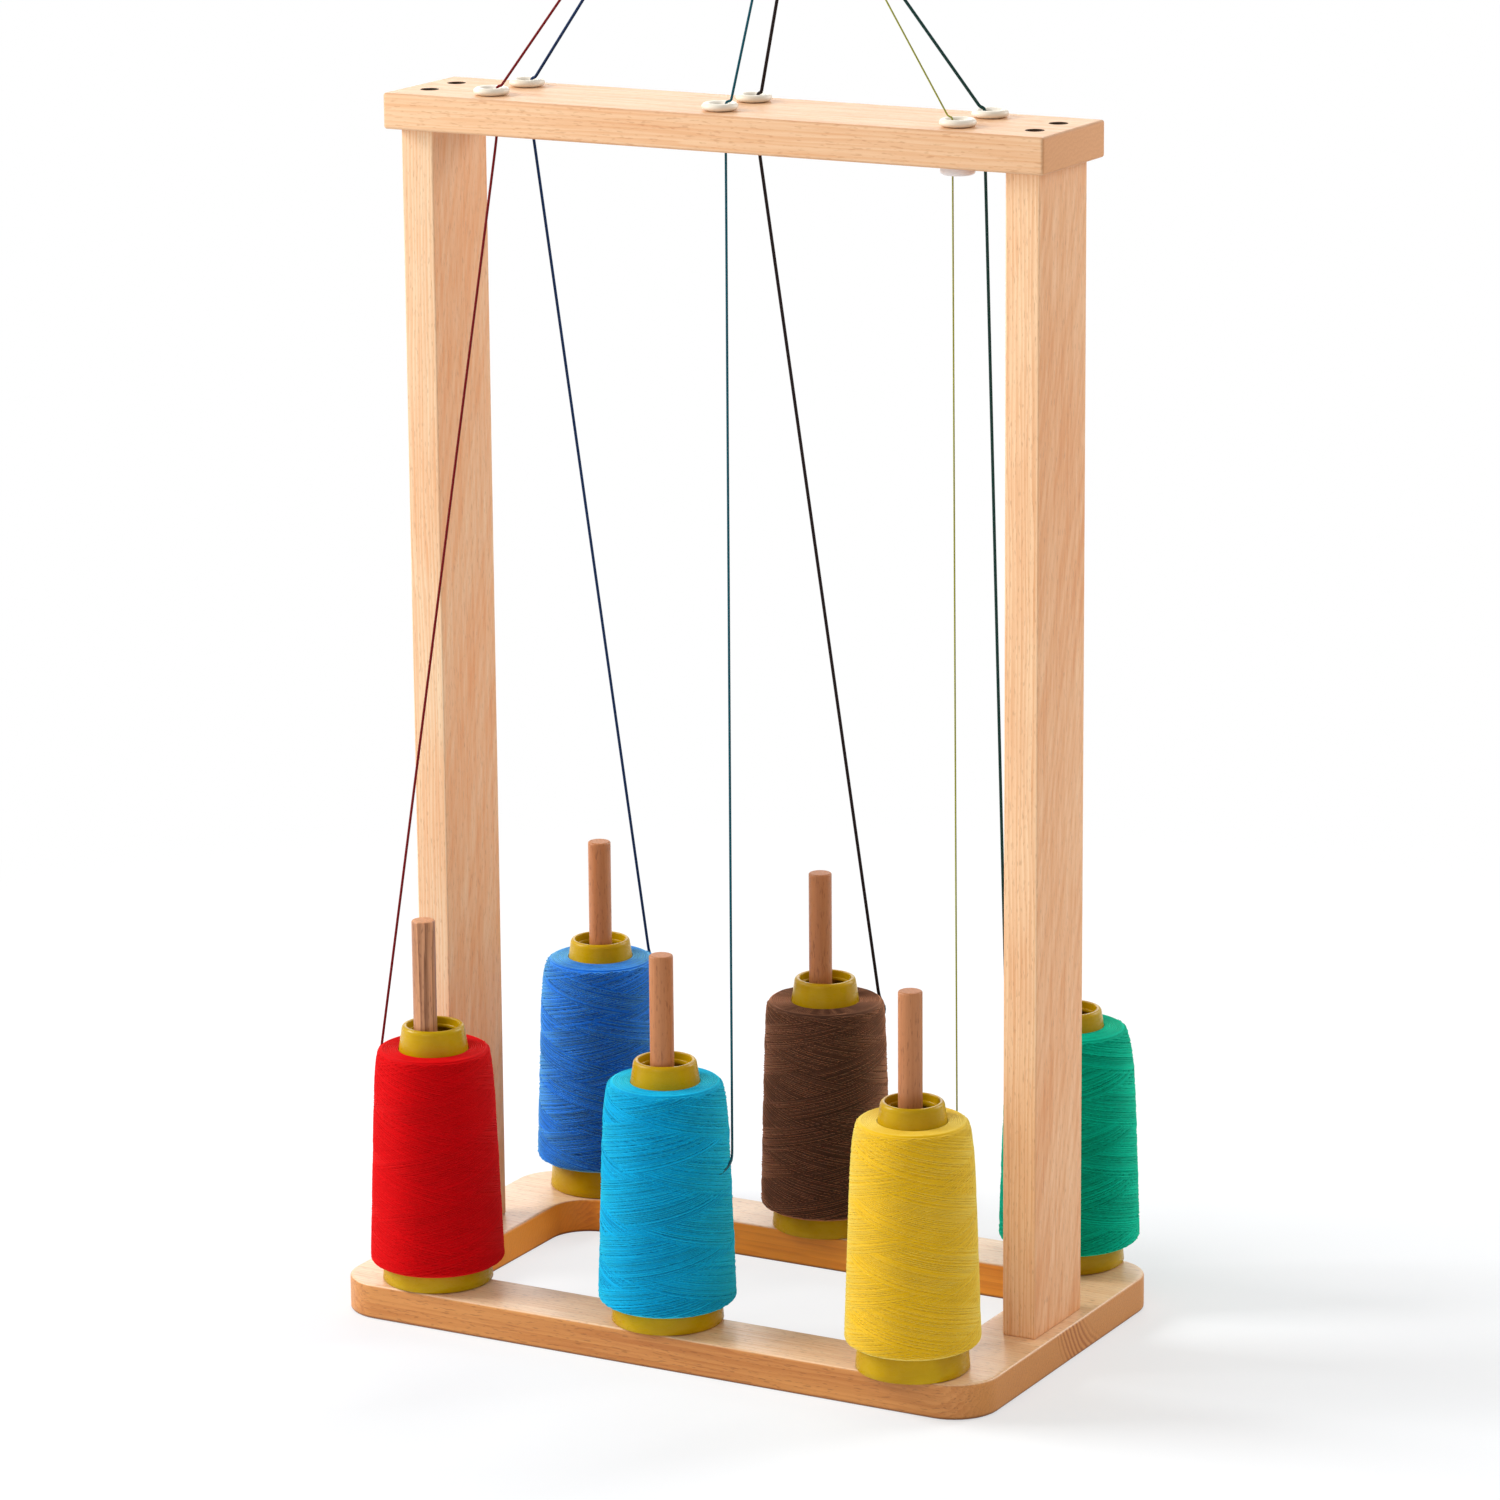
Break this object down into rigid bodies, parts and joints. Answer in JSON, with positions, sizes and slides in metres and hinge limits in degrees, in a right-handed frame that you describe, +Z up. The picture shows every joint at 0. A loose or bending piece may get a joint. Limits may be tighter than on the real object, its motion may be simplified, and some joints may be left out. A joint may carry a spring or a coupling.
{
  "type": "yarn holder",
  "caption": "Free-standing wooden stand that holds cones of thread on upright dowel pins and leads each thread up through a plastic guide in its crossbar.",
  "frame": {"origin": "on the surface that the stand rests on, under the middle of the base frame", "axes": "+X along the crossbar towards the yellow and green cones, -Y towards the front row of red, cyan and yellow cones, +Z up"},
  "size_m": [0.325, 0.2211, 0.6067],
  "materials": {
    "board": "bare, finely sanded, satin",
    "dowel": "bare, matt",
    "guide": "smooth, semi-gloss",
    "core": "moulded, glossy",
    "screw": "dull",
    "red_yarn": "fine twisted thread, faint sheen",
    "blue_yarn": "fine twisted thread, faint sheen",
    "cyan_yarn": "fine twisted thread, faint sheen",
    "brown_yarn": "fine twisted thread, faint sheen",
    "yellow_yarn": "fine twisted thread, faint sheen",
    "green_yarn": "fine twisted thread, faint sheen"
  },
  "bodies": {
    "stand": {"base_frame": "board", "crossbar": "board", "left_post": "board", "right_post": "board", "crossbar_screw_left_front": "screw", "base_screw_left_front": "screw", "crossbar_screw_left_back": "screw", "base_screw_left_back": "screw", "crossbar_screw_right_front": "screw", "base_screw_right_front": "screw", "crossbar_screw_right_back": "screw", "base_screw_right_back": "screw", "red_pin": "dowel", "red_guide": "guide", "red_upper_thread": "red_yarn", "blue_pin": "dowel", "blue_guide": "guide", "blue_upper_thread": "blue_yarn", "cyan_pin": "dowel", "cyan_guide": "guide", "cyan_upper_thread": "cyan_yarn", "brown_pin": "dowel", "brown_guide": "guide", "brown_upper_thread": "brown_yarn", "yellow_pin": "dowel", "yellow_guide": "guide", "yellow_lower_ring": "guide", "yellow_upper_thread": "yellow_yarn", "green_pin": "dowel", "green_guide": "guide", "green_upper_thread": "green_yarn"},
    "red_thread_end": {"red_lower_thread": "red_yarn"},
    "red_cone": {"red_core": "core", "red_package": "red_yarn", "red_winding": "red_yarn"},
    "blue_thread_end": {"blue_lower_thread": "blue_yarn"},
    "blue_cone": {"blue_core": "core", "blue_package": "blue_yarn", "blue_winding": "blue_yarn"},
    "cyan_thread_end": {"cyan_lower_thread": "cyan_yarn"},
    "cyan_cone": {"cyan_core": "core", "cyan_package": "cyan_yarn", "cyan_winding": "cyan_yarn"},
    "brown_thread_end": {"brown_lower_thread": "brown_yarn"},
    "brown_cone": {"brown_core": "core", "brown_package": "brown_yarn", "brown_winding": "brown_yarn"},
    "yellow_thread_end": {"yellow_lower_thread": "yellow_yarn"},
    "yellow_cone": {"yellow_core": "core", "yellow_package": "yellow_yarn", "yellow_winding": "yellow_yarn"},
    "green_thread_end": {"green_lower_thread": "green_yarn"},
    "green_cone": {"green_core": "core", "green_package": "green_yarn", "green_winding": "green_yarn"}
  },
  "joints": [
    {"name": "red_lift", "type": "slide", "parent": "stand", "child": "red_thread_end", "axis": [0, 0, 1], "range_m": [0, 0.17], "deforming": ["red_lower_thread"]},
    {"name": "red_spin", "type": "hinge", "parent": "red_thread_end", "child": "red_cone", "pos_m": [-0.1212, -0.0695, 0.0163], "axis": [0, 0, 1], "continuous": true},
    {"name": "blue_lift", "type": "slide", "parent": "stand", "child": "blue_thread_end", "axis": [0, 0, 1], "range_m": [0, 0.17], "deforming": ["blue_lower_thread"]},
    {"name": "blue_spin", "type": "hinge", "parent": "blue_thread_end", "child": "blue_cone", "pos_m": [-0.1225, 0.0835, 0.0163], "axis": [0, 0, 1], "continuous": true},
    {"name": "cyan_lift", "type": "slide", "parent": "stand", "child": "cyan_thread_end", "axis": [0, 0, 1], "range_m": [0, 0.17], "deforming": ["cyan_lower_thread"]},
    {"name": "cyan_spin", "type": "hinge", "parent": "cyan_thread_end", "child": "cyan_cone", "pos_m": [-0.0011, -0.0712, 0.0163], "axis": [0, 0, 1], "continuous": true},
    {"name": "brown_lift", "type": "slide", "parent": "stand", "child": "brown_thread_end", "axis": [0, 0, 1], "range_m": [0, 0.17], "deforming": ["brown_lower_thread"]},
    {"name": "brown_spin", "type": "hinge", "parent": "brown_thread_end", "child": "brown_cone", "pos_m": [-0.0003, 0.0782, 0.0163], "axis": [0, 0, 1], "continuous": true},
    {"name": "yellow_lift", "type": "slide", "parent": "stand", "child": "yellow_thread_end", "axis": [0, 0, 1], "range_m": [0, 0.17], "deforming": ["yellow_lower_thread"]},
    {"name": "yellow_spin", "type": "hinge", "parent": "yellow_thread_end", "child": "yellow_cone", "pos_m": [0.124, -0.0776, 0.0163], "axis": [0, 0, 1], "continuous": true},
    {"name": "green_lift", "type": "slide", "parent": "stand", "child": "green_thread_end", "axis": [0, 0, 1], "range_m": [0, 0.17], "deforming": ["green_lower_thread"]},
    {"name": "green_spin", "type": "hinge", "parent": "green_thread_end", "child": "green_cone", "pos_m": [0.1219, 0.0836, 0.0163], "axis": [0, 0, 1], "continuous": true}
  ]
}
